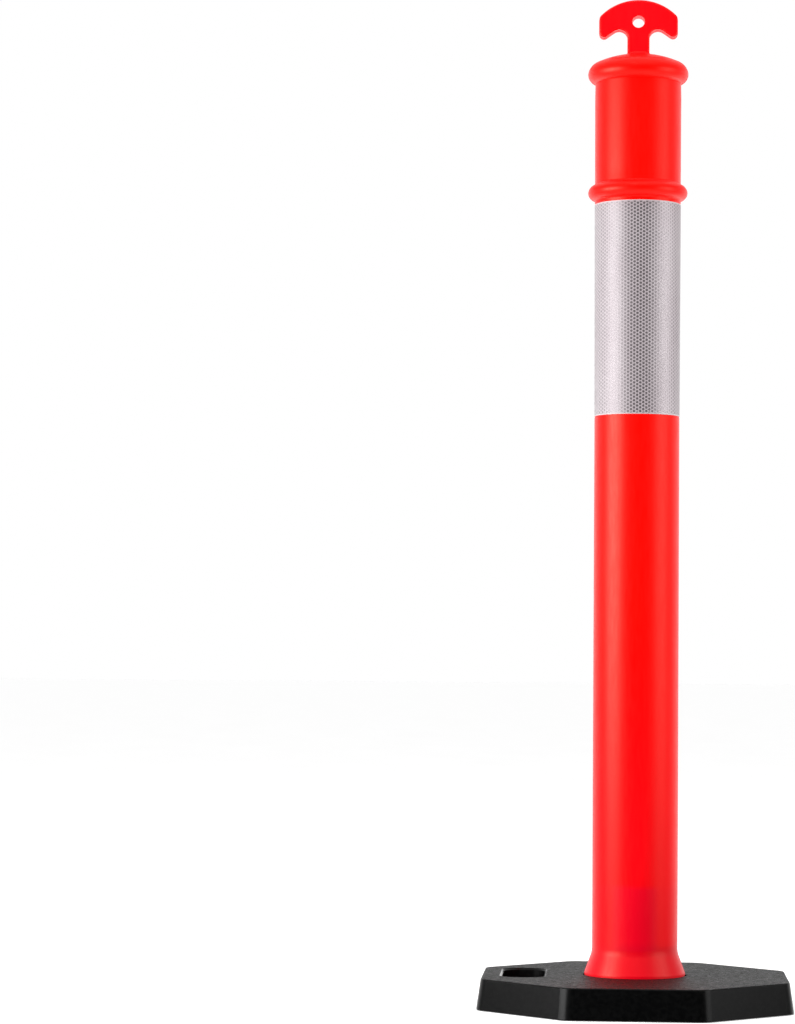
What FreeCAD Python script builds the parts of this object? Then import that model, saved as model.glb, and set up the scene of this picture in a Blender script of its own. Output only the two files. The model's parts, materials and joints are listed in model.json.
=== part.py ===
import FreeCAD, Part
import Sketcher
import math
import os

# T-top delineator post on a twist-lock rubber foot.  Millimetres.
# Frame: origin at the centre of the base's underside, +Z up the post,
# -Y the front, the carrying slot in the base on the -X side.

doc = FreeCAD.newDocument("delineator_post")

# ---------------------------------------------------------------- sizes
sheet = doc.addObject("Spreadsheet::Sheet", "Sizes")
SIZES = [
    # rubber base: an irregular octagon with drafted sides
    ("base_height", 35.0, "thickness of the rubber slab"),
    ("base_bottom", 353.6, "across flats at the underside"),
    ("base_cut", 99.8, "leg cut off each corner at the underside"),
    ("base_draft", 7.81, "draft of the sides, degrees"),
    ("base_corner_r", 22.0, "rounding of the eight upright edges"),
    ("base_edge_r", 1.8, "rounding of the top rim"),
    ("base_foot_r", 1.0, "rounding of the bottom rim"),
    ("slot_x_out", 150.0, "carrying slot, outer side from the axis"),
    ("slot_x_in", 102.4, "carrying slot, inner side from the axis"),
    ("slot_y_front", 49.0, "carrying slot, front end from the axis"),
    ("slot_y_back", 69.0, "carrying slot, back end from the axis"),
    ("slot_corner_r", 19.5, "carrying slot corner radius"),
    ("slot_bevel", 2.2, "bevel round the slot's top"),
    ("hole_r", 44.5, "central hole radius"),
    ("recess_r", 60.5, "bayonet recess radius under the ledge"),
    ("recess_depth", 14.0, "bayonet recess depth from the underside"),
    ("notch_r", 59.0, "bayonet notches reach this radius"),
    ("notch_width", 16.0, "bayonet notch width"),
    # foot plug
    ("plug_low", 4.0, "plug's lower end above the ground"),
    ("plug_neck_r", 44.2, "plug neck in the central hole"),
    ("flange_r", 50.0, "plug flange radius"),
    ("flange_t", 3.5, "plug flange thickness"),
    ("spigot_r", 44.8, "spigot radius inside the tube"),
    ("spigot_top", 136.0, "spigot's top above the ground"),
    ("spigot_lead", 3.0, "lead-in bevel at the spigot's top"),
    ("plug_wall", 3.0, "plug wall thickness"),
    ("plug_roof", 3.0, "plug roof thickness"),
    ("lug_r", 57.5, "bayonet lug radius"),
    ("lug_width", 14.0, "bayonet lug width"),
    ("lug_low", 5.5, "bayonet lug underside"),
    ("lug_thick", 8.2, "bayonet lug thickness"),
    ("web_t", 3.0, "stiffening web thickness"),
    ("web_low", 44.0, "stiffening webs start here"),
    ("finger_in", 16.6, "snap finger slit, inner side"),
    ("finger_out", 31.6, "snap finger slit, outer side"),
    ("finger_low", 82.0, "snap finger slit, lower end"),
    ("finger_high", 107.5, "snap finger slit, upper end"),
    ("finger_slit", 1.8, "snap finger slit width"),
    # post tube
    ("skirt_r", 56.9, "skirt radius on the base"),
    ("skirt_lip", 2.6, "upright lip at the skirt's foot"),
    ("skirt_top", 61.6, "where the skirt's cone would meet the tube"),
    ("skirt_blend", 26.0, "blend radius from skirt to tube"),
    ("lip_blend", 5.0, "blend radius from lip to cone"),
    ("tube_r", 48.1, "tube radius over the lower half"),
    ("tube_wall", 3.0, "tube wall"),
    ("taper_start", 668.0, "the tube widens slightly from here up"),
    ("neck_r", 49.1, "neck radius under the head"),
    ("tube_top", 1051.5, "tube's upper end"),
    ("bead_z", 926.5, "lower bead centre height"),
    ("bead_half", 9.0, "half the lower bead's height"),
    ("bead_arc", 9.1, "lower bead section radius"),
    ("bead_in_half", 5.6, "half the height of the bead's hollow"),
    ("bead_in_arc", 6.1, "section radius of the bead's hollow"),
    ("bead_fillet", 2.4, "fillet beside the bead"),
    # reflective sleeve
    ("sleeve_low", 669.6, "sleeve lower edge"),
    ("sleeve_high", 912.9, "sleeve upper edge"),
    ("sleeve_gap", 0.05, "adhesive line"),
    ("sleeve_t", 0.45, "sheeting thickness"),
    # T-top head
    ("rim_r", 57.12, "head rim radius"),
    ("rim_z", 1063.3, "head rim centre height"),
    ("rim_low_arc", 11.3, "rim section radius below the centre"),
    ("rim_up_arc", 13.9, "rim section radius above the centre"),
    ("dome_arc", 118.2, "dome section radius"),
    ("head_wall", 3.0, "head wall"),
    ("head_spigot_low", 1026.0, "lower end of the head's spigot in the neck"),
    ("head_spigot_r", 45.7, "head's spigot radius"),
    ("grip_t", 21.0, "thickness of the T plate"),
    ("grip_top", 1148.6, "top of the T plate"),
    ("grip_arc", 60.8, "radius of the T plate's top arc"),
    ("grip_half", 44.9, "half the T plate's width"),
    ("grip_corner", 7.5, "upper corner radius"),
    ("grip_tip_z", 1111.0, "wing tip centre height"),
    ("grip_tip_r", 5.3, "wing tip radius"),
    ("grip_crest_z", 1104.6, "underwing arc centre height"),
    ("grip_crest_r", 9.9, "underwing arc radius"),
    ("stem_half", 12.4, "half the stem's width"),
    ("grip_root", 1078.0, "the stem's root inside the dome"),
    ("stem_root_r", 3.5, "fillet where the stem meets the dome"),
    ("grip_edge_r", 2.6, "rounding of the T plate's edges"),
    ("rope_hole_r", 7.0, "rope hole radius"),
    ("rope_hole_z", 1123.3, "rope hole height"),
]
for row, (alias, value, note) in enumerate(SIZES, start=1):
    sheet.set("A%d" % row, alias.replace("_", " "))
    sheet.set("B%d" % row, repr(value))
    sheet.set("C%d" % row, note)
    sheet.setAlias("B%d" % row, alias)
doc.recompute()
S = {alias: value for alias, value, note in SIZES}


def cell(text):
    """Write a size formula once: a plain word means a cell of the sheet."""
    out, word = "", ""
    for ch in text + " ":
        if ch.isalnum() or ch == "_":
            word += ch
        else:
            out += ("Sizes." + word) if word in S else word
            out += ch
            word = ""
    return out.strip()


# ------------------------------------------------------------- helpers
def new_body(name):
    body = doc.addObject("PartDesign::Body", name)
    body.Label = name
    return body


def plane(body, role):
    for feature in body.Origin.OriginFeatures:
        if feature.Role == role:
            return feature
    raise RuntimeError("no plane " + role)


def new_sketch(body, name, role, offset=None):
    sketch = body.newObject("Sketcher::SketchObject", name)
    sketch.AttachmentSupport = [(plane(body, role), "")]
    sketch.MapMode = "FlatFace"
    if offset:
        sketch.setExpression(".AttachmentOffset.Base.z", cell(offset))
    doc.recompute()
    return sketch


def pin(sketch, geo, pos, xf, yf, x, y):
    """Fix one point of a sketch by two dimensions from the origin."""
    for kind, formula, value, axis in (("DistanceX", xf, x, -2),
                                       ("DistanceY", yf, y, -1)):
        if abs(value) < 1e-9:
            sketch.addConstraint(Sketcher.Constraint("PointOnObject", geo, pos, axis))
        elif value > 0:
            k = sketch.addConstraint(Sketcher.Constraint(kind, -1, 1, geo, pos, value))
            sketch.setExpression("Constraints[%d]" % k, cell(formula))
        else:
            k = sketch.addConstraint(Sketcher.Constraint(kind, geo, pos, -1, 1, -value))
            sketch.setExpression("Constraints[%d]" % k, cell("-(%s)" % formula))


def evaluate(formula):
    """Value of a size formula, for the starting position of a point."""
    text, word, total = formula, "", ""
    for ch in text + " ":
        if ch.isalnum() or ch in "_.":
            word += ch
        else:
            total += repr(S[word]) if word in S else word
            total += ch
            word = ""
    return arithmetic(total)


def arithmetic(text):
    """Plain + - * / ( ) arithmetic."""
    tokens, number = [], ""
    for ch in text.replace(" ", ""):
        if ch.isdigit() or ch == ".":
            number += ch
        else:
            if number:
                tokens.append(float(number))
                number = ""
            tokens.append(ch)
    if number:
        tokens.append(float(number))

    def factor():
        t = tokens.pop(0)
        if t == "(":
            v = addition()
            tokens.pop(0)
            return v
        if t == "-":
            return -factor()
        return t

    def product():
        v = factor()
        while tokens and tokens[0] in ("*", "/"):
            if tokens.pop(0) == "*":
                v *= factor()
            else:
                v /= factor()
        return v

    def addition():
        v = product()
        while tokens and tokens[0] in ("+", "-"):
            if tokens.pop(0) == "+":
                v += product()
            else:
                v -= product()
        return v

    return addition()


def arc3(a, mid, b):
    """Arc through three points, always stored anticlockwise."""
    turn = (mid.x - a.x) * (b.y - mid.y) - (mid.y - a.y) * (b.x - mid.x)
    return Part.Arc(a, mid, b) if turn > 0 else Part.Arc(b, mid, a)


def outline(sketch, corners):
    """A closed outline.  Each corner is (x formula, y formula[, bend]); bend
    is (radius formula, side): the edge that leaves the corner is then an arc,
    bulging to its left (side 1) or to its right (side -1)."""
    points = [(evaluate(c[0]), evaluate(c[1])) for c in corners]
    n = len(corners)
    geos = []
    for i, corner in enumerate(corners):
        (x0, y0), (x1, y1) = points[i], points[(i + 1) % n]
        if len(corner) < 3:
            geos.append(sketch.addGeometry(Part.LineSegment(
                FreeCAD.Vector(x0, y0, 0), FreeCAD.Vector(x1, y1, 0)), False))
        else:
            r, side = evaluate(corner[2][0]), corner[2][1]
            dx, dy = x1 - x0, y1 - y0
            chord = math.hypot(dx, dy)
            rise = r - math.sqrt(max(r * r - chord * chord / 4, 0.0))
            nx, ny = -dy / chord * side, dx / chord * side
            mid = FreeCAD.Vector((x0 + x1) / 2 + nx * rise,
                                 (y0 + y1) / 2 + ny * rise, 0)
            arc = arc3(FreeCAD.Vector(x0, y0, 0), mid,
                       FreeCAD.Vector(x1, y1, 0))
            geos.append(sketch.addGeometry(arc, False))
    ends = []
    for i, g in enumerate(geos):
        (x0, y0) = points[i]
        geo = sketch.Geometry[g]
        start = geo.StartPoint
        first = math.hypot(start.x - x0, start.y - y0) < 1e-6
        ends.append((1, 2) if first else (2, 1))
    for i, g in enumerate(geos):
        j = (i + 1) % n
        sketch.addConstraint(Sketcher.Constraint(
            "Coincident", g, ends[i][1], geos[j], ends[j][0]))
    for i, corner in enumerate(corners):
        pin(sketch, geos[i], ends[i][0], corner[0], corner[1], *points[i])
        if len(corner) == 3:
            k = sketch.addConstraint(Sketcher.Constraint(
                "Radius", geos[i], evaluate(corner[2][0])))
            sketch.setExpression("Constraints[%d]" % k, cell(corner[2][0]))
    doc.recompute()
    return geos


def circle(sketch, xf, yf, rf):
    x, y, r = evaluate(xf), evaluate(yf), evaluate(rf)
    g = sketch.addGeometry(Part.Circle(FreeCAD.Vector(x, y, 0),
                                       FreeCAD.Vector(0, 0, 1), r), False)
    if abs(x) < 1e-9 and abs(y) < 1e-9:
        sketch.addConstraint(Sketcher.Constraint("Coincident", g, 3, -1, 1))
    else:
        pin(sketch, g, 3, xf, yf, x, y)
    k = sketch.addConstraint(Sketcher.Constraint("Radius", g, r))
    sketch.setExpression("Constraints[%d]" % k, cell(rf))
    return g


def revolve(body, sketch, kind="PartDesign::Revolution", name="Turned"):
    feature = body.newObject(kind, name)
    feature.Profile = sketch
    feature.ReferenceAxis = (sketch, ["V_Axis"])
    feature.Angle = 360.0
    doc.recompute()
    return feature


def pad(body, sketch, length, name, midplane=False):
    feature = body.newObject("PartDesign::Pad", name)
    feature.Profile = sketch
    feature.setExpression("Length", cell(length))
    if midplane:
        feature.Midplane = True
    doc.recompute()
    return feature


def cut(body, sketch, name, length=None, up=True, midplane=False):
    """A pocket that has to take material away."""
    before = body.Shape.Volume
    feature = body.newObject("PartDesign::Pocket", name)
    feature.Profile = sketch
    if length is None:
        feature.Type = 1
    else:
        feature.Type = 0
        feature.setExpression("Length", cell(length))
    if midplane:
        feature.Midplane = True
    else:
        feature.Reversed = up
    doc.recompute()
    after = body.Shape.Volume
    print("%s: %.0f mm3 removed" % (name, before - after))
    if not before - after > 1.0:
        raise RuntimeError(name + " removes nothing")
    return feature


def edges_where(shape, test):
    return ["Edge%d" % i for i, e in enumerate(shape.Edges, start=1) if test(e)]


def round_edges(body, base, test, size, name, kind="PartDesign::Fillet", expect=None):
    names = edges_where(base.Shape, test)
    if expect is not None and len(names) != expect:
        raise RuntimeError("%s: found %d edges, expected %d" % (name, len(names), expect))
    feature = body.newObject(kind, name)
    feature.Base = (base, names)
    if kind == "PartDesign::Fillet":
        feature.setExpression("Radius", cell(size))
    else:
        feature.setExpression("Size", cell(size))
    doc.recompute()
    return feature


def ring_edge(r, z, tol=0.05):
    """Tests for a full circle round the axis at this radius and height."""
    def test(e):
        b = e.BoundBox
        return (abs(b.ZMin - z) < tol and abs(b.ZMax - z) < tol
                and abs(b.XMax - r) < tol and abs(b.XMin + r) < tol)
    return test


# --------------------------------------------------------- rubber_base
base = new_body("rubber_base")
sk = new_sketch(base, "BaseOutline", "XY_Plane")
A = "(base_bottom/2)"
B = "(base_bottom/2-base_cut)"
outline(sk, [(B, "-" + A), (A, "-" + B), (A, B), (B, A),
             ("-" + B, A), ("-" + A, B), ("-" + A, "-" + B), ("-" + B, "-" + A)])
slab = base.newObject("PartDesign::Pad", "BaseSlab")
slab.Profile = sk
slab.setExpression("Length", cell("base_height"))
slab.setExpression("TaperAngle", cell("-base_draft"))
doc.recompute()
H = S["base_height"]
print("slab volume", round(slab.Shape.Volume), "top face across",
      max(f.BoundBox.XLength for f in slab.Shape.Faces if abs(f.BoundBox.ZMin - H) < 1e-3))


def upright(e):
    b = e.BoundBox
    return b.ZMin < 0.01 and b.ZMax > H - 0.01


rounded = round_edges(base, slab, upright, "base_corner_r", "BaseCorners", expect=8)

sk = new_sketch(base, "CarrySlot", "XY_Plane")
outline(sk, [("-slot_x_out", "-slot_y_front"), ("-slot_x_in", "-slot_y_front"),
             ("-slot_x_in", "slot_y_back"), ("-slot_x_out", "slot_y_back")])
cut(base, sk, "CarrySlotCut")


def in_slot(e, grow=0.5):
    b = e.BoundBox
    return (b.XMin > -S["slot_x_out"] - grow and b.XMax < -S["slot_x_in"] + grow
            and b.YMin > -S["slot_y_front"] - grow and b.YMax < S["slot_y_back"] + grow)


rounded = round_edges(base, base.Tip, lambda e: upright(e) and in_slot(e),
                      "slot_corner_r", "CarrySlotCorners", expect=4)

sk = new_sketch(base, "CentreHole", "XY_Plane")
circle(sk, "0", "0", "hole_r")
cut(base, sk, "CentreHoleCut")

sk = new_sketch(base, "BayonetRecess", "XY_Plane")
circle(sk, "0", "0", "recess_r")
cut(base, sk, "BayonetRecessCut", "recess_depth")

# two notches through the ledge, on the X axis
sk = new_sketch(base, "BayonetNotches", "XY_Plane")
half_w, reach = S["notch_width"] / 2, S["notch_r"]
xn = math.sqrt(reach * reach - half_w * half_w)
P = FreeCAD.Vector
low = sk.addGeometry(Part.LineSegment(P(-xn, -half_w, 0), P(xn, -half_w, 0)), False)
right = sk.addGeometry(Part.Arc(P(xn, -half_w, 0), P(reach, 0, 0), P(xn, half_w, 0)), False)
high = sk.addGeometry(Part.LineSegment(P(xn, half_w, 0), P(-xn, half_w, 0)), False)
left = sk.addGeometry(Part.Arc(P(-xn, half_w, 0), P(-reach, 0, 0), P(-xn, -half_w, 0)), False)
C = Sketcher.Constraint
for a, b in ((low, right), (right, high), (high, left), (left, low)):
    sk.addConstraint(C("Coincident", a, 2, b, 1))
for g in (right, left):
    sk.addConstraint(C("Coincident", g, 3, -1, 1))
for g in (low, high):
    sk.addConstraint(C("Horizontal", g))
k = sk.addConstraint(C("Radius", right, reach))
sk.setExpression("Constraints[%d]" % k, cell("notch_r"))
sk.addConstraint(C("Equal", right, left))
k = sk.addConstraint(C("DistanceY", -1, 1, high, 1, half_w))
sk.setExpression("Constraints[%d]" % k, cell("notch_width/2"))
k = sk.addConstraint(C("DistanceY", low, 1, -1, 1, half_w))
sk.setExpression("Constraints[%d]" % k, cell("notch_width/2"))
doc.recompute()
cut(base, sk, "BayonetNotchCut")


def top_rim(e):
    b = e.BoundBox
    far = max(abs(b.XMin), abs(b.XMax), abs(b.YMin), abs(b.YMax)) > 90 and not in_slot(e)
    return abs(b.ZMin - H) < 0.01 and abs(b.ZMax - H) < 0.01 and far


def bottom_rim(e):
    b = e.BoundBox
    far = max(abs(b.XMin), abs(b.XMax), abs(b.YMin), abs(b.YMax)) > 90 and not in_slot(e)
    return abs(b.ZMin) < 0.01 and abs(b.ZMax) < 0.01 and far


round_edges(base, base.Tip, top_rim, "base_edge_r", "BaseTopRim", expect=16)
round_edges(base, base.Tip, bottom_rim, "base_foot_r", "BaseFootRim", expect=16)


def slot_mouth(e):
    b = e.BoundBox
    return abs(b.ZMin - H) < 0.01 and abs(b.ZMax - H) < 0.01 and in_slot(e)


round_edges(base, base.Tip, slot_mouth, "slot_bevel", "CarrySlotBevel",
            kind="PartDesign::Chamfer", expect=8)

# ----------------------------------------------------------- foot_plug
plug = new_body("foot_plug")
sk = new_sketch(plug, "PlugProfile", "XZ_Plane")
outline(sk, [("0", "plug_low"), ("plug_neck_r", "plug_low"),
             ("plug_neck_r", "base_height"), ("flange_r", "base_height"),
             ("flange_r", "base_height+flange_t"), ("spigot_r", "base_height+flange_t"),
             ("spigot_r", "spigot_top-spigot_lead"),
             ("spigot_r-spigot_lead/2", "spigot_top"), ("0", "spigot_top")])
revolve(plug, sk, name="PlugTurned")

sk = new_sketch(plug, "Lugs", "XY_Plane", offset="lug_low")
half_w, reach = S["lug_width"] / 2, S["lug_r"]
yn = math.sqrt(reach * reach - half_w * half_w)
side_r = sk.addGeometry(Part.LineSegment(P(half_w, -yn, 0), P(half_w, yn, 0)), False)
back = sk.addGeometry(Part.Arc(P(half_w, yn, 0), P(0, reach, 0), P(-half_w, yn, 0)), False)
side_l = sk.addGeometry(Part.LineSegment(P(-half_w, yn, 0), P(-half_w, -yn, 0)), False)
front = sk.addGeometry(Part.Arc(P(-half_w, -yn, 0), P(0, -reach, 0), P(half_w, -yn, 0)), False)
for a, b in ((side_r, back), (back, side_l), (side_l, front), (front, side_r)):
    sk.addConstraint(C("Coincident", a, 2, b, 1))
for g in (back, front):
    sk.addConstraint(C("Coincident", g, 3, -1, 1))
for g in (side_r, side_l):
    sk.addConstraint(C("Vertical", g))
k = sk.addConstraint(C("Radius", back, reach))
sk.setExpression("Constraints[%d]" % k, cell("lug_r"))
sk.addConstraint(C("Equal", back, front))
k = sk.addConstraint(C("DistanceX", -1, 1, side_r, 1, half_w))
sk.setExpression("Constraints[%d]" % k, cell("lug_width/2"))
k = sk.addConstraint(C("DistanceX", side_l, 1, -1, 1, half_w))
sk.setExpression("Constraints[%d]" % k, cell("lug_width/2"))
doc.recompute()
pad(plug, sk, "lug_thick", "LugPad")

sk = new_sketch(plug, "PlugHollow", "XZ_Plane")
outline(sk, [("0", "plug_low-2"), ("plug_neck_r-plug_wall", "plug_low-2"),
             ("plug_neck_r-plug_wall", "spigot_top-plug_roof"),
             ("0", "spigot_top-plug_roof")])
before = plug.Shape.Volume
revolve(plug, sk, kind="PartDesign::Groove", name="PlugHollowed")
print("PlugHollowed: %.0f mm3 removed" % (before - plug.Shape.Volume))
if not before - plug.Shape.Volume > 1.0:
    raise RuntimeError("PlugHollowed removes nothing")

# a cross of two webs stiffens the spigot from inside
sk = new_sketch(plug, "Webs", "XY_Plane", offset="web_low")
w, e = "(web_t/2)", "(plug_neck_r-plug_wall+1)"
outline(sk, [(w, "-" + w), (e, "-" + w), (e, w), (w, w), (w, e), ("-" + w, e),
             ("-" + w, w), ("-" + e, w), ("-" + e, "-" + w), ("-" + w, "-" + w),
             ("-" + w, "-" + e), (w, "-" + e)])
pad(plug, sk, "spigot_top-plug_roof-web_low+1", "WebPad")

# U-shaped slits that free four snap fingers in the spigot's wall
sk = new_sketch(plug, "FingerSlits", "XZ_Plane")
for s in ("", "-"):
    xi, xo = "(finger_in)", "(finger_out)"
    xa, xb = "(finger_in+finger_slit)", "(finger_out-finger_slit)"
    pts = [(xi, "finger_high"), (xi, "finger_low"), (xo, "finger_low"), (xo, "finger_high"),
           (xb, "finger_high"), (xb, "finger_low+finger_slit"),
           (xa, "finger_low+finger_slit"), (xa, "finger_high")]
    outline(sk, [(s + x, z) for x, z in pts])
cut(plug, sk, "FingerSlitCut", length="4*spigot_r", midplane=True)

# ----------------------------------------------------------- post_tube
tube = new_body("post_tube")
sk = new_sketch(tube, "TubeProfile", "XZ_Plane")
GROW = "(neck_r-tube_r)/(tube_top-taper_start)"


def radius_at(height, inset=""):
    """Tapered part of the tube: outer radius at a height, less an inset."""
    return "tube_r+(%s-taper_start)*%s%s" % (height, GROW, inset)


INS = "-tube_wall"
outline(sk, [
    ("skirt_r", "base_height"),
    ("skirt_r", "base_height+skirt_lip"),
    ("tube_r", "skirt_top"),
    ("tube_r", "taper_start"),
    (radius_at("(bead_z-bead_half)"), "bead_z-bead_half", ("bead_arc", -1)),
    (radius_at("(bead_z+bead_half)"), "bead_z+bead_half"),
    ("neck_r", "tube_top"),
    ("neck_r-tube_wall", "tube_top"),
    (radius_at("(bead_z+bead_in_half)", INS), "bead_z+bead_in_half", ("bead_in_arc", 1)),
    (radius_at("(bead_z-bead_in_half)", INS), "bead_z-bead_in_half"),
    ("tube_r-tube_wall", "taper_start"),
    ("tube_r-tube_wall", "skirt_top-1"),
    ("skirt_r-tube_wall", "base_height+skirt_lip-1"),
    ("skirt_r-tube_wall", "base_height"),
])
turned = revolve(tube, sk, name="TubeTurned")
r_low = S["tube_r"] + (S["bead_z"] - S["bead_half"] - S["taper_start"]) * \
    (S["neck_r"] - S["tube_r"]) / (S["tube_top"] - S["taper_start"])
r_high = S["tube_r"] + (S["bead_z"] + S["bead_half"] - S["taper_start"]) * \
    (S["neck_r"] - S["tube_r"]) / (S["tube_top"] - S["taper_start"])
fl = round_edges(tube, turned, ring_edge(r_low, S["bead_z"] - S["bead_half"]),
                 "bead_fillet", "BeadFilletLow", expect=1)
fl = round_edges(tube, fl, ring_edge(r_high, S["bead_z"] + S["bead_half"]),
                 "bead_fillet", "BeadFilletHigh", expect=1)
fl = round_edges(tube, fl, ring_edge(S["tube_r"], S["skirt_top"]),
                 "skirt_blend", "SkirtBlend", expect=1)
fl = round_edges(tube, fl, ring_edge(S["skirt_r"], H + S["skirt_lip"]),
                 "lip_blend", "LipBlend", expect=1)

# --------------------------------------------------- reflective_sleeve
sleeve = new_body("reflective_sleeve")
sk = new_sketch(sleeve, "SleeveProfile", "XZ_Plane")
outline(sk, [
    (radius_at("sleeve_low", "+sleeve_gap"), "sleeve_low"),
    (radius_at("sleeve_low", "+sleeve_gap+sleeve_t"), "sleeve_low"),
    (radius_at("sleeve_high", "+sleeve_gap+sleeve_t"), "sleeve_high"),
    (radius_at("sleeve_high", "+sleeve_gap"), "sleeve_high"),
])
revolve(sleeve, sk, name="SleeveTurned")

# ---------------------------------------------------------- t_top_head
head = new_body("t_top_head")

# half of the T plate: arcs and lines that run smoothly into each other
top_c = S["grip_top"] - S["grip_arc"]
R1, rc, half = S["grip_arc"], S["grip_corner"], S["grip_half"]
cx = half - rc
cz = top_c + math.sqrt((R1 - rc) ** 2 - cx ** 2)
ang = math.atan2(cz - top_c, cx)
j1 = (R1 * math.cos(ang), top_c + R1 * math.sin(ang))
tz, tr = S["grip_tip_z"], S["grip_tip_r"]
tx = half - tr
kz, kr = S["grip_crest_z"], S["grip_crest_r"]
kx = S["stem_half"] + kr
dx, dz = tx - kx, tz - kz
dist = math.hypot(dx, dz)
slope = math.atan2(dz, dx) - math.asin((tr + kr) / dist)
nx, nz = -math.sin(slope), math.cos(slope)
j5 = (kx + kr * nx, kz + kr * nz)          # crest arc meets the slanted line
j4 = (tx - tr * nx, tz - tr * nz)          # slanted line meets the tip arc

sk = new_sketch(head, "GripHalf", "XZ_Plane")


def vec(p):
    return P(p[0], p[1], 0)


mid1 = (ang + math.pi / 2) / 2
g_top = sk.addGeometry(arc3(vec((0, S["grip_top"])),
                                vec((R1 * math.cos(mid1), top_c + R1 * math.sin(mid1))),
                                vec(j1)), False)
mid2 = ang / 2
g_cor = sk.addGeometry(arc3(vec(j1), vec((cx + rc * math.cos(mid2), cz + rc * math.sin(mid2))),
                                vec((half, cz))), False)
g_side = sk.addGeometry(Part.LineSegment(vec((half, cz)), vec((half, tz))), False)
a4 = math.atan2(j4[1] - tz, j4[0] - tx)
mid4 = (a4 + 0.0) / 2
g_tip = sk.addGeometry(arc3(vec((half, tz)), vec((tx + tr * math.cos(mid4), tz + tr * math.sin(mid4))),
                                vec(j4)), False)
g_slant = sk.addGeometry(Part.LineSegment(vec(j4), vec(j5)), False)
a5 = math.atan2(j5[1] - kz, j5[0] - kx)
mid5 = (a5 + math.pi) / 2
g_crest = sk.addGeometry(arc3(vec(j5), vec((kx + kr * math.cos(mid5), kz + kr * math.sin(mid5))),
                                  vec((S["stem_half"], kz))), False)
g_stem = sk.addGeometry(Part.LineSegment(vec((S["stem_half"], kz)), vec((S["stem_half"], S["grip_root"]))), False)
g_root = sk.addGeometry(Part.LineSegment(vec((S["stem_half"], S["grip_root"])), vec((0, S["grip_root"]))), False)
g_axis = sk.addGeometry(Part.LineSegment(vec((0, S["grip_root"])), vec((0, S["grip_top"]))), False)
chain = [(g_top, j1), (g_cor, (half, cz)), (g_side, (half, tz)), (g_tip, j4), (g_slant, j5),
         (g_crest, (S["stem_half"], kz)), (g_stem, (S["stem_half"], S["grip_root"])),
         (g_root, (0, S["grip_root"])), (g_axis, (0, S["grip_top"]))]


def which_end(g, p):
    geo = sk.Geometry[g]
    s = geo.StartPoint
    return 1 if math.hypot(s.x - p[0], s.y - p[1]) < 1e-4 else 2


for i, (g, p) in enumerate(chain):
    h = chain[(i + 1) % len(chain)][0]
    smooth = i < 6
    sk.addConstraint(C("Tangent" if smooth else "Coincident",
                       g, which_end(g, p), h, which_end(h, p)))
sk.addConstraint(C("Vertical", g_side))
sk.addConstraint(C("Vertical", g_stem))
sk.addConstraint(C("Horizontal", g_root))
sk.addConstraint(C("PointOnObject", g_axis, which_end(g_axis, (0, S["grip_top"])), -2))
sk.addConstraint(C("PointOnObject", g_axis, which_end(g_axis, (0, S["grip_root"])), -2))
sk.addConstraint(C("PointOnObject", g_top, 3, -2))
for g, alias in ((g_top, "grip_arc"), (g_cor, "grip_corner"), (g_tip, "grip_tip_r"),
                 (g_crest, "grip_crest_r")):
    k = sk.addConstraint(C("Radius", g, S[alias]))
    sk.setExpression("Constraints[%d]" % k, cell(alias))
for kind, g, pos, alias in (
        ("DistanceY", g_axis, which_end(g_axis, (0, S["grip_top"])), "grip_top"),
        ("DistanceY", g_axis, which_end(g_axis, (0, S["grip_root"])), "grip_root"),
        ("DistanceX", g_side, 1, "grip_half"),
        ("DistanceY", g_tip, 3, "grip_tip_z"),
        ("DistanceX", g_stem, 1, "stem_half"),
        ("DistanceY", g_crest, 3, "grip_crest_z")):
    k = sk.addConstraint(C(kind, -1, 1, g, pos, S[alias]))
    sk.setExpression("Constraints[%d]" % k, cell(alias))
doc.recompute()
half_grip = pad(head, sk, "grip_t", "GripHalfPad", midplane=True)
mirror = head.newObject("PartDesign::Mirrored", "GripWhole")
mirror.Originals = [half_grip]
mirror.MirrorPlane = (sk, ["V_Axis"])
head.Tip = mirror
doc.recompute()
print("T plate volume", round(half_grip.Shape.Volume), "->", round(mirror.Shape.Volume))

HALF_T = S["grip_t"] / 2


def grip_rim(e):
    b = e.BoundBox
    flat = abs(b.YMin - b.YMax) < 0.01 and abs(abs(b.YMin) - HALF_T) < 0.01
    root = abs(b.ZMax - S["grip_root"]) < 0.01
    return flat and not root


grip_round = round_edges(head, mirror, grip_rim, "grip_edge_r", "GripEdges")

# the head below it: rim, dome and the spigot that goes into the neck
xr = S["rim_r"] - S["rim_up_arc"]
zd = S["rim_z"] - math.sqrt((S["dome_arc"] - S["rim_up_arc"]) ** 2 - xr ** 2)
th = math.atan2(S["rim_z"] - zd, xr)
jt = (S["dome_arc"] * math.cos(th), zd + S["dome_arc"] * math.sin(th))
apex = zd + S["dome_arc"]
xl = S["rim_r"] - S["rim_low_arc"]
neck = S["neck_r"]
z_low = S["rim_z"] - math.sqrt(S["rim_low_arc"] ** 2 - (neck - xl) ** 2)
wall = S["head_wall"]
print("dome apex %.2f, rim meets neck at %.2f" % (apex, z_low))
S_extra = {
    "dome_centre": zd, "dome_apex": apex, "rim_join_x": jt[0], "rim_join_z": jt[1],
    "rim_foot": z_low,
}
row = len(SIZES) + 2
for alias, value in S_extra.items():
    sheet.set("A%d" % row, alias.replace("_", " ") + " (worked out)")
    sheet.set("B%d" % row, repr(round(value, 4)))
    sheet.setAlias("B%d" % row, alias)
    S[alias] = round(value, 4)
    row += 1
doc.recompute()

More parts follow.
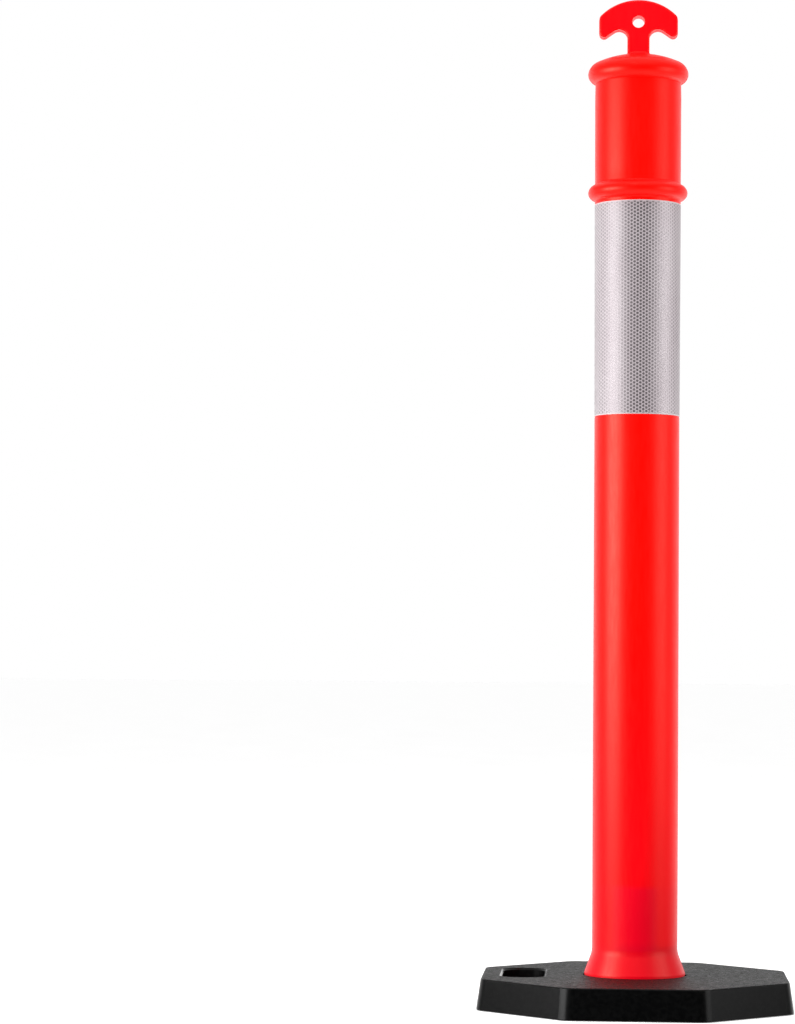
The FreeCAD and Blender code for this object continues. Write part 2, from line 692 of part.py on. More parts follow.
sk = new_sketch(head, "HeadProfile", "XZ_Plane")
outline(sk, [
    ("neck_r", "tube_top"),
    ("neck_r", "rim_foot", ("rim_low_arc", -1)),
    ("rim_r", "rim_z", ("rim_up_arc", -1)),
    ("rim_join_x", "rim_join_z", ("dome_arc", -1)),
    ("0", "dome_apex"),
    ("0", "dome_apex-head_wall", ("dome_arc-head_wall", 1)),
    ("rim_join_x-1", "rim_join_z-head_wall", ("rim_up_arc-head_wall", 1)),
    ("rim_r-head_wall", "rim_z", ("rim_low_arc-head_wall", 1)),
    ("neck_r-head_wall-3.4", "rim_foot+0.6"),
    ("head_spigot_r-head_wall", "head_spigot_low"),
    ("head_spigot_r", "head_spigot_low"),
    ("head_spigot_r", "tube_top"),
])
revolve(head, sk, name="HeadTurned")


def stem_root(e):
    b = e.BoundBox
    inside = max(abs(b.XMin), abs(b.XMax)) < S["stem_half"] + 1 and \
        max(abs(b.YMin), abs(b.YMax)) < HALF_T + 1
    return inside and b.ZMin > 1080 and b.ZMax < S["dome_apex"] + 0.5 and b.ZMin > S["dome_apex"] - 3 \
        and (b.XLength > 1 or b.YLength > 1)


round_edges(head, head.Tip, stem_root, "stem_root_r", "StemRoot", expect=9)

# rope hole through the T plate
sk = new_sketch(head, "RopeHole", "XZ_Plane")
circle(sk, "0", "rope_hole_z", "rope_hole_r")
cut(head, sk, "RopeHoleCut", length="4*grip_t", midplane=True)


def hole_mouth(e):
    b = e.BoundBox
    return (abs(b.YLength) < 0.01 and abs(abs(b.YMin) - HALF_T) < 0.01
            and abs(b.XLength - 2 * S["rope_hole_r"]) < 0.01)


round_edges(head, head.Tip, hole_mouth, "grip_edge_r/3", "RopeHoleRims", expect=2)

# ------------------------------------------------------------- checks
doc.recompute()
for obj in doc.Objects:
    if "Invalid" in obj.State or "Error" in obj.State:
        raise RuntimeError("%s failed: %s" % (obj.Name, obj.State))

PARTS = [base, plug, tube, sleeve, head]
for body in PARTS:
    shape = body.Shape
    if shape.isNull() or not shape.isValid():
        raise RuntimeError("bad shape: " + body.Label)
    if len(shape.Solids) != 1:
        raise RuntimeError("%s has %d solids" % (body.Label, len(shape.Solids)))
    b = shape.optimalBoundingBox(False)
    print("%-18s %10.0f mm3  x %.1f..%.1f  y %.1f..%.1f  z %.1f..%.1f" % (
        body.Label, shape.Volume, b.XMin, b.XMax, b.YMin, b.YMax, b.ZMin, b.ZMax))

for i, a in enumerate(PARTS):
    for b in PARTS[i + 1:]:
        common = a.Shape.common(b.Shape).Volume
        if common > 0.01:
            print("overlap %s / %s: %.3f mm3" % (a.Label, b.Label, common))

os.makedirs("parts", exist_ok=True)
for body in PARTS:
    body.Shape.exportStep(os.path.join("parts", body.Label + ".step"))
print("written", len(PARTS), "parts")
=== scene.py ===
import json
import math
import bmesh
import bpy
from mathutils import Matrix, Vector


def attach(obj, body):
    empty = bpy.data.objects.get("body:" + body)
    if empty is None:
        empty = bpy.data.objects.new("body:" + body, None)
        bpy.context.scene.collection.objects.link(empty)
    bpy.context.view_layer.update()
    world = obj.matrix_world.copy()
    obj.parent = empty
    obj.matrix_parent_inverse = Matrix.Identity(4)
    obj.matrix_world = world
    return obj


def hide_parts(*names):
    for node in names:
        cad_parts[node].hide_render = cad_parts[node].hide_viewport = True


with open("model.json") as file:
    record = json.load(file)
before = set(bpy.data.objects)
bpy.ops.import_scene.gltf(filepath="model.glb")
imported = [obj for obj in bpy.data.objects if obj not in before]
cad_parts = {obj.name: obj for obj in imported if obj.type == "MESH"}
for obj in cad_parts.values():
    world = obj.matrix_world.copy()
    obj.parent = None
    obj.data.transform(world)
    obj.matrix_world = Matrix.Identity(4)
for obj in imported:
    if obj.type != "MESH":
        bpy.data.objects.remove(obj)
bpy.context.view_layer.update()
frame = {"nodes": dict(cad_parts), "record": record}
nodes = frame["nodes"]
scene = bpy.context.scene

# ------------------------------------------------------------------ camera
cam_data = bpy.data.cameras.new("camera")
cam_data.lens = 118.09
cam_data.sensor_width = 36.0
cam_data.clip_start = 0.05
cam_data.clip_end = 400.0
camera = bpy.data.objects.new("camera", cam_data)
scene.collection.objects.link(camera)
yaw, pitch, roll = -0.0669, 0.0464, 0.0075
fwd = Vector((math.sin(yaw) * math.cos(pitch), math.cos(yaw) * math.cos(pitch), math.sin(pitch)))
side = Vector((math.cos(yaw), -math.sin(yaw), 0.0))
up = side.cross(fwd)
cam_x = side * math.cos(roll) + up * math.sin(roll)
cam_y = up * math.cos(roll) - side * math.sin(roll)
cam_z = -fwd
camera.matrix_world = Matrix((
    (cam_x.x, cam_y.x, cam_z.x, -0.01616),
    (cam_x.y, cam_y.y, cam_z.y, -3.84170),
    (cam_x.z, cam_y.z, cam_z.z, 0.38070),
    (0, 0, 0, 1)))
scene.camera = camera
scene.view_settings.view_transform = "Standard"


# ------------------------------------------------------------ node helpers
class Tree:
    """Small helper that adds shader nodes and links them in one call."""

    def __init__(self, name, world=False):
        if world:
            self.owner = bpy.data.worlds.new(name)
        else:
            self.owner = bpy.data.materials.new(name)
        self.owner.use_nodes = True
        self.nt = self.owner.node_tree
        self.nt.nodes.clear()

    def add(self, kind, settings=None, **inputs):
        n = self.nt.nodes.new(kind)
        for k, v in (settings or {}).items():
            setattr(n, k, v)
        for k, v in inputs.items():
            self.put(n, k, v)
        return n

    def put(self, n, key, value):
        if isinstance(key, str) and key.startswith("i") and key[1:].isdigit():
            sock = n.inputs[int(key[1:])]
        else:
            sock = n.inputs[key.replace("_", " ")] if isinstance(key, str) else n.inputs[key]
        if isinstance(value, bpy.types.NodeSocket):
            self.nt.links.new(value, sock)
        else:
            sock.default_value = value

    def math(self, op, a, b=None, c=None, clamp=False):
        n = self.nt.nodes.new("ShaderNodeMath")
        n.operation = op
        n.use_clamp = clamp
        for i, v in enumerate((a, b, c)):
            if v is not None:
                self.put(n, i, v) if not isinstance(v, (int, float)) else setattr(n.inputs[i], "default_value", v)
        return n.outputs[0]

    def smooth(self, x, lo, hi, to_lo=0.0, to_hi=1.0):
        n = self.nt.nodes.new("ShaderNodeMapRange")
        n.interpolation_type = "SMOOTHSTEP"
        self.put(n, 0, x)
        for i, v in enumerate((lo, hi, to_lo, to_hi), start=1):
            n.inputs[i].default_value = v
        return n.outputs[0]

    def mix(self, fac, a, b, blend="MIX"):
        n = self.nt.nodes.new("ShaderNodeMix")
        n.data_type = "RGBA"
        n.blend_type = blend
        n.clamp_factor = True
        self.put(n, 0, fac)
        for i, v in ((6, a), (7, b)):
            if isinstance(v, bpy.types.NodeSocket):
                self.nt.links.new(v, n.inputs[i])
            else:
                n.inputs[i].default_value = (*v, 1.0) if len(v) == 3 else v
        return n.outputs[2]

    def noise(self, vec, scale, detail=3.0, rough=0.5, distortion=0.0):
        n = self.nt.nodes.new("ShaderNodeTexNoise")
        n.inputs["Scale"].default_value = scale
        n.inputs["Detail"].default_value = detail
        n.inputs["Roughness"].default_value = rough
        n.inputs["Distortion"].default_value = distortion
        self.nt.links.new(vec, n.inputs["Vector"])
        return n.outputs[0]

    def voronoi(self, vec, scale, feature="F1", randomness=1.0, out="Distance"):
        n = self.nt.nodes.new("ShaderNodeTexVoronoi")
        n.feature = feature
        n.inputs["Scale"].default_value = scale
        n.inputs["Randomness"].default_value = randomness
        self.nt.links.new(vec, n.inputs["Vector"])
        return n.outputs[out]

    def object_coords(self):
        tc = self.add("ShaderNodeTexCoord")
        sep = self.add("ShaderNodeSeparateXYZ", i0=tc.outputs["Object"])
        return tc.outputs["Object"], sep.outputs[0], sep.outputs[1], sep.outputs[2]

    def stretch(self, vec, x, y, z):
        n = self.add("ShaderNodeMapping", {"vector_type": "POINT"}, Vector=vec)
        n.inputs["Scale"].default_value = (x, y, z)
        return n.outputs[0]

    def bump(self, height, distance, strength=1.0, normal=None):
        n = self.add("ShaderNodeBump")
        n.inputs["Strength"].default_value = strength
        n.inputs["Distance"].default_value = distance
        self.nt.links.new(height, n.inputs["Height"])
        if normal is not None:
            self.nt.links.new(normal, n.inputs["Normal"])
        return n.outputs[0]

    def finish(self, shader):
        out = self.add("ShaderNodeOutputMaterial")
        self.nt.links.new(shader, out.inputs["Surface"])
        return self.owner


# --------------------------------------------------------------- materials
def post_plastic():
    """Fluorescent orange-red polyethylene: saturated, softly glossy, faintly
    mottled, a little more orange up the tube than at its foot and on the grip."""
    t = Tree("post_plastic")
    obj, x, y, z = t.object_coords()
    mottle = t.noise(t.stretch(obj, 1.0, 1.0, 0.25), 38.0, 4.0, 0.55)
    cloud = t.noise(t.stretch(obj, 1.0, 1.0, 0.4), 9.0, 2.0, 0.5)
    fac = t.smooth(t.math("ADD", t.math("MULTIPLY", mottle, 0.5), t.math("MULTIPLY", cloud, 0.5)), 0.35, 0.65)
    orange = t.mix(fac, (0.91, 0.0004, 0.0001), (0.96, 0.0016, 0.0003))
    crimson = t.mix(fac, (0.89, 0.0001, 0.0042), (0.94, 0.0006, 0.0056))
    grip = t.mix(fac, (0.91, 0.0002, 0.0040), (0.95, 0.0008, 0.0056))
    colour = t.mix(t.smooth(z, 0.12, 0.46), crimson, orange)
    colour = t.mix(t.smooth(z, 1.078, 1.092), colour, grip)
    colour = t.mix(t.smooth(z, 0.078, 0.060), colour, (0.65, 0.0002, 0.0085))
    # painted shade: a deeper crimson zone on the lower wall where the black plug sits inside
    ragged = t.math("MULTIPLY", t.math("SUBTRACT", cloud, 0.5), 0.014)
    zz = t.math("ADD", z, ragged)
    behind = t.math("MULTIPLY", t.smooth(zz, 0.1400, 0.1330), t.smooth(z, 0.062, 0.069))
    # the painted plug shade is full on the wall facing front and back, and drops to 0.22 of it towards the parting
    # lines at the sides
    plug_shade_weight = t.smooth(t.math("ABSOLUTE", y), 0.0385, 0.0440, 0.22, 1.0)
    behind = t.math("MULTIPLY", behind, plug_shade_weight)
    colour = t.mix(t.math("MULTIPLY", behind, 0.50), colour, (0.69, 0.0001, 0.0215))
    peel = t.noise(t.stretch(obj, 1.0, 1.0, 0.5), 260.0, 2.0, 0.5)
    ripple = t.noise(t.stretch(obj, 1.0, 1.0, 0.12), 22.0, 2.0, 0.5)
    scuff = t.noise(t.stretch(obj, 3.0, 3.0, 0.35), 120.0, 5.0, 0.7)
    height = t.math("ADD", t.math("MULTIPLY", peel, 0.10), t.math("MULTIPLY", ripple, 1.1))
    normal = t.bump(height, 0.00042, 0.85)
    rough = t.smooth(scuff, 0.25, 0.80, 0.34, 0.46)
    p = t.add("ShaderNodeBsdfPrincipled", Base_Color=colour, Roughness=rough, Normal=normal)
    p.inputs["IOR"].default_value = 1.46
    p.inputs["Specular IOR Level"].default_value = 0.27
    p.inputs["Specular Tint"].default_value = (1.0, 0.82, 0.62, 1.0)
    # painted glow: the surface colour is also emitted, lifting the red everywhere beyond what the lamps give
    t.put(p, "Emission_Color", colour)
    p.inputs["Emission Strength"].default_value = 0.20
    return t.finish(p.outputs[0])


def sheeting():
    """Silver-white reflective sheeting: a honeycomb of sealed cells, mirror-like
    inside and white along the seals, under a clear film."""
    t = Tree("reflective_sheeting")
    obj, x, y, z = t.object_coords()
    turns = t.math("DIVIDE", t.math("ARCTAN2", y, x), 2 * math.pi)
    cells = 44.0
    pitch = 0.00404
    u = t.math("MULTIPLY", turns, cells)                 # one unit = two columns
    v = t.math("DIVIDE", z, pitch)                       # one unit = one cell

    def hexd(du, dv):
        a = t.math("SUBTRACT", t.math("FRACT", t.math("ADD", u, du)), 0.5)
        b = t.math("SUBTRACT", t.math("FRACT", t.math("ADD", v, dv)), 0.5)
        ax = t.math("ABSOLUTE", t.math("MULTIPLY", a, 1.7320508))
        ay = t.math("ABSOLUTE", b)
        slant = t.math("ADD", t.math("MULTIPLY", ax, 0.8660254), t.math("MULTIPLY", ay, 0.5))
        return t.math("MAXIMUM", ay, slant)

    d = t.math("MINIMUM", hexd(10.0, 10.0), hexd(10.5, 10.5))   # 0 centre .. 0.5 seal
    seal = t.smooth(d, 0.27, 0.40)
    grime = t.noise(t.stretch(obj, 1.0, 1.0, 0.3), 30.0, 4.0, 0.6)
    tone = t.mix(t.smooth(grime, 0.3, 0.7), (0.382, 0.330, 0.351), (0.420, 0.372, 0.391))
    cell_col = t.mix(t.smooth(grime, 0.3, 0.7), (0.206, 0.179, 0.190), (0.238, 0.211, 0.222))
    colour = t.mix(seal, cell_col, tone)
    # heat-sealed margins along the two cut edges
    margin = t.math("MAXIMUM", t.smooth(z, 0.9112, 0.9118), t.smooth(z, 0.6712, 0.6706))
    seal = t.math("MAXIMUM", seal, margin)
    colour = t.mix(margin, colour, (0.47, 0.42, 0.43))
    metal = t.smooth(seal, 0.0, 1.0, 0.86, 0.08)
    rough = t.smooth(seal, 0.0, 1.0, 0.52, 0.60)
    emboss = t.math("ADD", t.math("MULTIPLY", t.smooth(d, 0.18, 0.48), 1.0), t.math("MULTIPLY", grime, 0.15))
    normal = t.bump(emboss, 0.00010, 0.55)
    p = t.add("ShaderNodeBsdfPrincipled", Base_Color=colour, Roughness=rough, Metallic=metal, Normal=normal)
    p.inputs["IOR"].default_value = 1.5
    p.inputs["Coat Weight"].default_value = 0.5
    p.inputs["Coat Roughness"].default_value = 0.50
    return t.finish(p.outputs[0])


def base_rubber():
    """Moulded recycled rubber: leathery grain on top, finer skin on the sides,
    a few pale specks and a trace of dust."""
    t = Tree("base_rubber")
    obj, x, y, z = t.object_coords()
    geo = t.add("ShaderNodeNewGeometry")
    nrm = t.add("ShaderNodeSeparateXYZ", i0=geo.outputs["Normal"])
    top = t.smooth(nrm.outputs[2], 0.75, 0.97)
    grain = t.voronoi(obj, 420.0, "SMOOTH_F1")
    wrinkle = t.noise(obj, 190.0, 6.0, 0.62, 0.6)
    fine = t.noise(obj, 900.0, 3.0, 0.6)
    big = t.noise(obj, 14.0, 3.0, 0.55)
    leather = t.math("ADD", t.math("MULTIPLY", grain, 0.55), t.math("MULTIPLY", wrinkle, 0.9))
    skin = t.math("ADD", t.math("MULTIPLY", fine, 0.35), t.math("MULTIPLY", wrinkle, 0.25))
    height = t.math("ADD", t.math("MULTIPLY", leather, top),
                    t.math("MULTIPLY", skin, t.math("MULTIPLY", t.math("SUBTRACT", 1.0, top), 0.016)))
    normal = t.bump(height, 0.00190, 1.0)
    speck = t.smooth(t.voronoi(obj, 230.0), 0.10, 0.04)
    rare = t.smooth(t.noise(obj, 320.0, 1.0, 0.5), 0.60, 0.66)
    speck = t.math("MULTIPLY", speck, rare)
    colour = t.mix(t.smooth(wrinkle, 0.35, 0.68), (0.0014, 0.0014, 0.0015), (0.0036, 0.0036, 0.0036))
    colour = t.mix(t.math("MULTIPLY", t.smooth(big, 0.45, 0.75), t.math("MULTIPLY", top, 0.35)), colour, (0.012, 0.0115, 0.011))
    colour = t.mix(t.math("MULTIPLY", speck, 0.55), colour, (0.05, 0.048, 0.046))
    rough_top = t.smooth(wrinkle, 0.3, 0.7, 0.38, 0.60)
    rough_side = t.smooth(wrinkle, 0.3, 0.7, 0.285, 0.30)
    rough = t.math("ADD", t.math("MULTIPLY", rough_top, top),
                   t.math("MULTIPLY", rough_side, t.math("SUBTRACT", 1.0, top)))
    # bevels and rims, polished by the mould and by handling
    edge = t.math("MULTIPLY", t.smooth(nrm.outputs[2], 0.30, 0.50), t.smooth(nrm.outputs[2], 0.94, 0.84))
    rough = t.math("SUBTRACT", rough, t.math("MULTIPLY", edge, 0.14))
    p = t.add("ShaderNodeBsdfPrincipled", Base_Color=colour, Roughness=rough, Normal=normal)
    p.inputs["IOR"].default_value = 1.5
    p.inputs["Specular IOR Level"].default_value = 0.13
    return t.finish(p.outputs[0])


def plug_plastic():
    """Black injection-moulded polypropylene with a fine spark-eroded texture."""
    t = Tree("plug_plastic")
    obj, x, y, z = t.object_coords()
    fine = t.noise(obj, 700.0, 3.0, 0.6)
    flow = t.noise(t.stretch(obj, 1.0, 1.0, 0.2), 45.0, 3.0, 0.5)
    colour = t.mix(t.smooth(flow, 0.35, 0.65), (0.010, 0.010, 0.011), (0.020, 0.020, 0.021))
    rough = t.smooth(flow, 0.3, 0.7, 0.42, 0.55)
    normal = t.bump(t.math("ADD", t.math("MULTIPLY", fine, 0.5), t.math("MULTIPLY", flow, 0.4)), 0.00012, 0.8)
    p = t.add("ShaderNodeBsdfPrincipled", Base_Color=colour, Roughness=rough, Normal=normal)
    p.inputs["IOR"].default_value = 1.49
    return t.finish(p.outputs[0])


def floor_material():
    """Pale matt studio floor."""
    t = Tree("studio_floor")
    obj, x, y, z = t.object_coords()
    n = t.noise(obj, 3.0, 3.0, 0.5)
    colour = t.mix(t.smooth(n, 0.3, 0.7), (0.90, 0.90, 0.90), (0.93, 0.93, 0.93))
    p = t.add("ShaderNodeBsdfPrincipled", Base_Color=colour)
    p.inputs["Roughness"].default_value = 0.9
    p.inputs["Specular IOR Level"].default_value = 0.0
    p.inputs["Emission Color"].default_value = (1, 1, 1, 1)
    p.inputs["Emission Strength"].default_value = 0.24
    return t.finish(p.outputs[0])


MATS = {
    "post_plastic": post_plastic(),
    "reflective_sheeting": sheeting(),
    "base_rubber": base_rubber(),
    "plug_plastic": plug_plastic(),
}
SLOT_OF = {"rubber_base": "base_rubber", "foot_plug": "plug_plastic", "post_tube": "post_plastic",
           "reflective_sleeve": "reflective_sheeting", "t_top_head": "post_plastic"}
for name, slot in SLOT_OF.items():
    for ms in nodes[name].material_slots:
        ms.material = MATS[slot]

# ------------------------------------------------- sizes, in millimetres
BASE_H = 35.0
SKIRT_R, SKIRT_LIP, SKIRT_TOP, SKIRT_BLEND, LIP_BLEND = 56.9, 2.6, 61.6, 26.0, 5.0
TUBE_R, WALL, TAPER_Z, NECK_R, TUBE_TOP = 48.1, 3.0, 668.0, 49.1, 1051.5
BEAD_Z, BEAD_HALF, BEAD_ARC, BEAD_FILLET = 926.5, 9.0, 9.1, 2.4
IN_HALF, IN_ARC = 5.6, 6.1
SLEEVE_LOW, SLEEVE_HIGH, SLEEVE_GAP, SLEEVE_T = 669.6, 912.9, 0.05, 0.45
RIDGE = 0.28          # height of the mould's parting line


def radius_at(z):
    """Tube radius at a height."""
    return TUBE_R + max(0.0, z - TAPER_Z) * (NECK_R - TUBE_R) / (TUBE_TOP - TAPER_Z)


def arc(cx, cz, r, a0, a1, n):
    """Points on an arc, angles in degrees."""
    return [(cx + r * math.cos(math.radians(a0 + (a1 - a0) * i / n)),
             cz + r * math.sin(math.radians(a0 + (a1 - a0) * i / n))) for i in range(n + 1)]


def rounded(before, corner, after, r, n):
    """Points of a fillet at a corner between two straight lines."""
    p, c, q = Vector(before), Vector(corner), Vector(after)
    u, v = (p - c).normalized(), (q - c).normalized()
    half = u.angle(v) / 2
    t = r / math.tan(half)
    centre = c + (u + v).normalized() * (r / math.sin(half))
    s, e = c + u * t - centre, c + v * t - centre
    turn = s.angle_signed(e)
    out = []
    for i in range(n + 1):
        a = -turn * i / n
        out.append((centre.x + s.x * math.cos(a) - s.y * math.sin(a),
                    centre.y + s.x * math.sin(a) + s.y * math.cos(a)))
    return out


def straight(z0, z1, rows, r_of):
    return [(r_of(z0 + (z1 - z0) * i / rows), z0 + (z1 - z0) * i / rows) for i in range(1, rows)]


def outer_profile():
    foot, lip, top = (SKIRT_R, BASE_H), (SKIRT_R, BASE_H + SKIRT_LIP), (TUBE_R, SKIRT_TOP)
    pts = [foot]
    pts += rounded(foot, lip, top, LIP_BLEND, 5)
    pts += rounded(lip, top, (TUBE_R, 200.0), SKIRT_BLEND, 14)
    pts += straight(pts[-1][1], TAPER_Z, 24, radius_at) + [(TUBE_R, TAPER_Z)]
    # lower bead: fillet, nearly half round, fillet
    r0 = radius_at(BEAD_Z)
    cx = r0 - math.sqrt(BEAD_ARC ** 2 - BEAD_HALF ** 2)
    rise = math.sqrt((BEAD_ARC + BEAD_FILLET) ** 2 - (r0 + BEAD_FILLET - cx) ** 2)
    open_a = math.degrees(math.atan2(rise, r0 + BEAD_FILLET - cx))
    low = arc(r0 + BEAD_FILLET, BEAD_Z - rise, BEAD_FILLET, 180.0, 180.0 - open_a, 8)
    mid = arc(cx, BEAD_Z, BEAD_ARC, -open_a, open_a, 40)
    high = arc(r0 + BEAD_FILLET, BEAD_Z + rise, BEAD_FILLET, 180.0 + open_a, 180.0, 8)
    pts += [(TUBE_R, TAPER_Z + 0.6)]
    pts += straight(TAPER_Z + 0.6, SLEEVE_HIGH + 0.8, 12, radius_at)
    pts += [(radius_at(SLEEVE_HIGH + 0.8), SLEEVE_HIGH + 0.8), (radius_at(SLEEVE_HIGH + 1.6), SLEEVE_HIGH + 1.6)]
    pts += low + mid[1:-1] + high
    pts += straight(high[-1][1], TUBE_TOP, 8, radius_at) + [(NECK_R, TUBE_TOP)]
    return pts


def inner_profile():
    r0 = radius_at(BEAD_Z) - WALL
    cx = r0 - math.sqrt(IN_ARC ** 2 - IN_HALF ** 2)
    a = math.degrees(math.asin(IN_HALF / IN_ARC))
    pts = [(NECK_R - WALL, TUBE_TOP)]
    pts += arc(cx, BEAD_Z, IN_ARC, a, -a, 16)
    pts += [(TUBE_R - WALL, TAPER_Z), (TUBE_R - WALL, SKIRT_TOP - 1.0),
            (SKIRT_R - WALL, BASE_H + SKIRT_LIP - 1.0), (SKIRT_R - WALL, BASE_H)]
    return pts


def around():
    """Angles round the tube with close-set ones over the two parting lines,
    and the parting line's height at each."""
    out = []
    n = 240
    for i in range(n):
        a = 360.0 * (i + 0.5) / n
        out.append((a, 0.0))
    for side in (0.0, 180.0):
        out = [(a, h) for a, h in out if min(abs(a - side), 360 - abs(a - side)) > 0.95]
        for d, h in ((-0.90, 0.0), (-0.42, 0.55), (-0.2, 0.93), (0.0, 1.0), (0.2, 0.93), (0.42, 0.55), (0.90, 0.0)):
            out.append(((side + d) % 360.0, h))
    return sorted(out)


def make(name, verts, faces, body, node, slot, sharp=35.0):
    mesh = bpy.data.meshes.new(name)
    mesh.from_pydata([tuple(c * 0.001 for c in v) for v in verts], [], faces)
    mesh.validate()
    bm = bmesh.new()
    bm.from_mesh(mesh)
    bmesh.ops.recalc_face_normals(bm, faces=bm.faces)
    bm.to_mesh(mesh)
    bm.free()
    mesh.shade_smooth()
    mesh.set_sharp_from_angle(angle=math.radians(sharp))
    mesh.materials.append(MATS[slot])
    o = bpy.data.objects.new(name, mesh)
    scene.collection.objects.link(o)
    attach(o, body)
    if node:
        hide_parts(node)
    return o


BODY_OF = {n: b for b, members in frame["record"]["behaviour"]["bodies"].items() for n in members}

# -------------------------------------------------------- blow-moulded tube
ring = around()
outer, inner = outer_profile(), inner_profile()
loop = [(r, z, True) for r, z in outer] + [(r, z, False) for r, z in inner]
verts, faces = [], []
for r, z, outside in loop:
    for a, h in ring:
        bare = outside and BASE_H + 1.0 < z < TUBE_TOP - 0.5 and not TAPER_Z + 0.3 < z < SLEEVE_HIGH + 1.0
        rr = r + (RIDGE * h if bare else 0.0)
        verts.append((rr * math.cos(math.radians(a)), rr * math.sin(math.radians(a)), z))
n, m = len(ring), len(loop)
for i in range(m):
    for j in range(n):
        k, l = (i + 1) % m, (j + 1) % n
        faces.append((i * n + j, i * n + l, k * n + l, k * n + j))
make("post_tube_moulding", verts, faces, BODY_OF["post_tube"], "post_tube", "post_plastic")

# ------------------------- parting line over the head, rim to rim via the T
HALF, STEM, TOP_Z, ARC_R = 44.9, 12.4, 1148.6, 60.8
CORNER_R, TIP_Z, TIP_R, CREST_Z, CREST_R = 7.5, 1111.0, 5.3, 1104.6, 9.9
RIM_R, RIM_Z, RIM_LOW, RIM_UP, DOME, ROOT_R = 57.12, 1063.3, 11.3, 13.9, 118.2, 3.5
top_c = TOP_Z - ARC_R
cx = HALF - CORNER_R
cz = top_c + math.sqrt((ARC_R - CORNER_R) ** 2 - cx ** 2)
ang = math.degrees(math.atan2(cz - top_c, cx))
tx, kx = HALF - TIP_R, STEM + CREST_R
slope = math.atan2(TIP_Z - CREST_Z, tx - kx) - math.asin((TIP_R + CREST_R) / math.hypot(tx - kx, TIP_Z - CREST_Z))
nrm = math.degrees(slope) + 90.0
xr = RIM_R - RIM_UP
zd = RIM_Z - math.sqrt((DOME - RIM_UP) ** 2 - xr ** 2)
th = math.degrees(math.atan2(RIM_Z - zd, xr))
# fillet between the stem and the dome
fx = STEM + ROOT_R
fz = zd + math.sqrt((DOME + ROOT_R) ** 2 - fx ** 2)
fa = math.degrees(math.atan2(fz - zd, fx))
xl = RIM_R - RIM_LOW
foot_a = -math.degrees(math.acos((NECK_R - xl) / RIM_LOW))
half_path = arc(0.0, top_c, ARC_R, 90.0, ang, 22)
half_path += arc(cx, cz, CORNER_R, ang, 0.0, 10)[1:]
half_path += arc(tx, TIP_Z, TIP_R, 0.0, nrm - 180.0, 14)
half_path += arc(kx, CREST_Z, CREST_R, nrm, 180.0, 22)
half_path += arc(fx, fz, ROOT_R, 180.0, 180.0 + fa, 8)
half_path += arc(0.0, zd, DOME, fa, th, 16)
half_path += arc(xr, RIM_Z, RIM_UP, th, 0.0, 14)[1:]
half_path += arc(xl, RIM_Z, RIM_LOW, 0.0, foot_a, 14)[1:]
clean = [half_path[0]]
for q in half_path[1:]:
    if math.hypot(q[0] - clean[-1][0], q[1] - clean[-1][1]) > 0.05:
        clean.append(q)
path = [(-x, z) for x, z in reversed(clean[1:])] + clean
verts, faces = [], []
rib = ((-0.62, -0.12), (-0.30, RIDGE * 0.72), (0.0, RIDGE), (0.30, RIDGE * 0.72), (0.62, -0.12), (0.0, -0.45))
for i, (x, z) in enumerate(path):
    p0, p1 = path[max(i - 1, 0)], path[min(i + 1, len(path) - 1)]
    d = Vector((p1[0] - p0[0], p1[1] - p0[1])).normalized()
    nx, nz = -d.y, d.x                     # the path runs clockwise, so this points outward
    for y, off in rib:
        verts.append((x + nx * off, y, z + nz * off))
k = len(rib)
for i in range(len(path) - 1):
    for j in range(k):
        l = (j + 1) % k
        faces.append((i * k + j, (i + 1) * k + j, (i + 1) * k + l, i * k + l))
faces.append(tuple(range(k)))
faces.append(tuple((len(path) - 1) * k + j for j in reversed(range(k))))
make("head_parting_line", verts, faces, BODY_OF["t_top_head"], None, "post_plastic", sharp=60.0)

# --------------------------------------- sheeting, wrapped with a lap behind
LAP = 13.0            # degrees of overlap
steps = 300
verts, faces = [], []
section = []
EDGE = 0.14
for i in range(steps + 1):
    turn = (360.0 + LAP) * i / steps
    a = 90.0 - LAP / 2 + turn
    ramp = min(max((turn - (360.0 - 9.0)) / 9.0, 0.0), 1.0)
    lift = (SLEEVE_T + 0.03) * ramp * ramp * (3 - 2 * ramp)
    for z, t in ((SLEEVE_LOW, 0.0), (SLEEVE_LOW, SLEEVE_T - EDGE), (SLEEVE_LOW + EDGE, SLEEVE_T),
                 (SLEEVE_LOW + 81.0, SLEEVE_T), (SLEEVE_LOW + 162.0, SLEEVE_T),
                 (SLEEVE_HIGH - EDGE, SLEEVE_T), (SLEEVE_HIGH, SLEEVE_T - EDGE), (SLEEVE_HIGH, 0.0)):
        r = radius_at(z) + SLEEVE_GAP + lift + t
        verts.append((r * math.cos(math.radians(a)), r * math.sin(math.radians(a)), z))
k = 8
for i in range(steps):
    for j in range(k):
        l = (j + 1) % k
        faces.append((i * k + j, (i + 1) * k + j, (i + 1) * k + l, i * k + l))
faces.append(tuple(range(k)))
faces.append(tuple(steps * k + j for j in reversed(range(k))))
wrap = make("sheeting_wrap", verts, faces, BODY_OF["reflective_sleeve"], "reflective_sleeve", "reflective_sheeting")

# -------------------------------------------------------------------- stage
mesh = bpy.data.meshes.new("studio_floor")
bm = bmesh.new()
bmesh.ops.create_circle(bm, cap_ends=True, segments=96, radius=90.0)
bm.to_mesh(mesh)
bm.free()
floor = bpy.data.objects.new("studio_floor", mesh)
floor.location = (0, 0, -0.0004)
scene.collection.objects.link(floor)
mesh.materials.append(floor_material())
floor.visible_glossy = False
floor.visible_diffuse = False

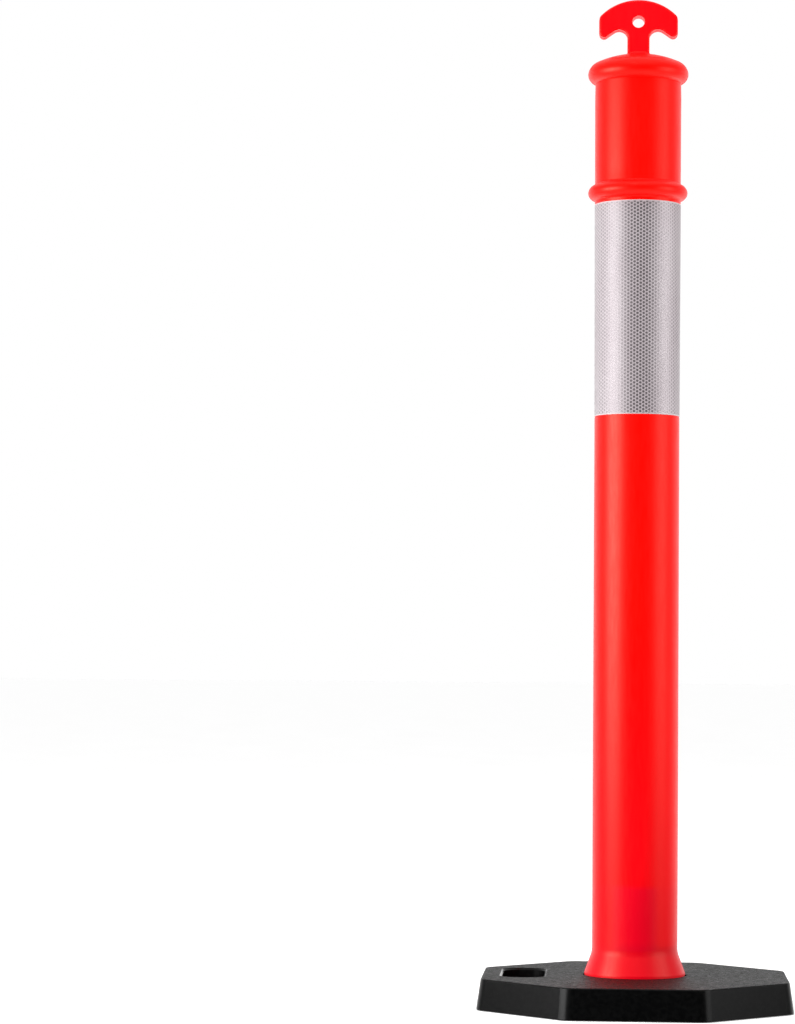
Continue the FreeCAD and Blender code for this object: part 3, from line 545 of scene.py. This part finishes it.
# ------------------------------------------------------------------- lights
w = Tree("studio_world", world=True)
scene.world = w.owner
tc = w.add("ShaderNodeTexCoord")
sep = w.add("ShaderNodeSeparateXYZ", i0=tc.outputs["Generated"])
back = w.math("MULTIPLY", w.smooth(sep.outputs[1], -0.05, 0.90), w.smooth(sep.outputs[2], 0.13, 0.33, 1.0, 0.50))
overhead = w.smooth(sep.outputs[2], 0.35, 0.85)
level = w.math("ADD", w.math("MULTIPLY", back, 1.30), w.math("MULTIPLY", overhead, 1.0))
under = w.smooth(sep.outputs[2], -0.25, -0.75)
level = w.math("ADD", level, w.math("MULTIPLY", under, 1.3))
level = w.math("ADD", level, 0.015)
lp = w.add("ShaderNodeLightPath")
strength = w.math("ADD", w.math("MULTIPLY", level, w.math("SUBTRACT", 1.0, lp.outputs["Is Camera Ray"])),
                  lp.outputs["Is Camera Ray"])
bg = w.add("ShaderNodeBackground", Strength=strength)
bg.inputs["Color"].default_value = (1, 1, 1, 1)
wo = w.add("ShaderNodeOutputWorld")
w.nt.links.new(bg.outputs[0], wo.inputs["Surface"])


def softbox(name, azimuth, elevation, distance, target, width, height, power, mirrored=True):
    """azimuth from the camera's side, positive to the camera's right."""
    a, e = math.radians(azimuth), math.radians(elevation)
    pos = Vector((math.sin(a) * math.cos(e), -math.cos(a) * math.cos(e), math.sin(e))) * distance + Vector(target)
    data = bpy.data.lights.new(name, "AREA")
    data.shape = "RECTANGLE"
    data.size, data.size_y = width, height
    data.energy = power
    data.color = (1.0, 1.0, 1.0)
    o = bpy.data.objects.new(name, data)
    scene.collection.objects.link(o)
    o.location = pos
    o.rotation_euler = (Vector(target) - pos).to_track_quat("-Z", "Y").to_euler()
    o.visible_camera = False
    o.visible_glossy = mirrored
    return o


softbox("softbox_left", -64, 0, 2.2, (0, 0, 0.785), 1.5, 0.97, 62)
softbox("softbox_right", 71, 0, 2.2, (0, 0, 0.85), 1.35, 1.3, 21)

# a broad fill from over the camera, too soft to show in the gloss
softbox("front_fill", 8, 55, 4.2, (0, 0, 0.6), 2.6, 2.6, 84, mirrored=False)

# two side lights for the sheeting alone
receivers = bpy.data.collections.new("kicker_receivers")
receivers.objects.link(wrap)
for kicker in (softbox("sheeting_kicker", 80, 0, 2.2, (0, 0, 0.85), 1.2, 1.2, 21),
               softbox("sheeting_rim", -114, 0, 2.2, (0, 0, 0.85), 1.2, 1.2, 9)):
    kicker.light_linking.receiver_collection = receivers
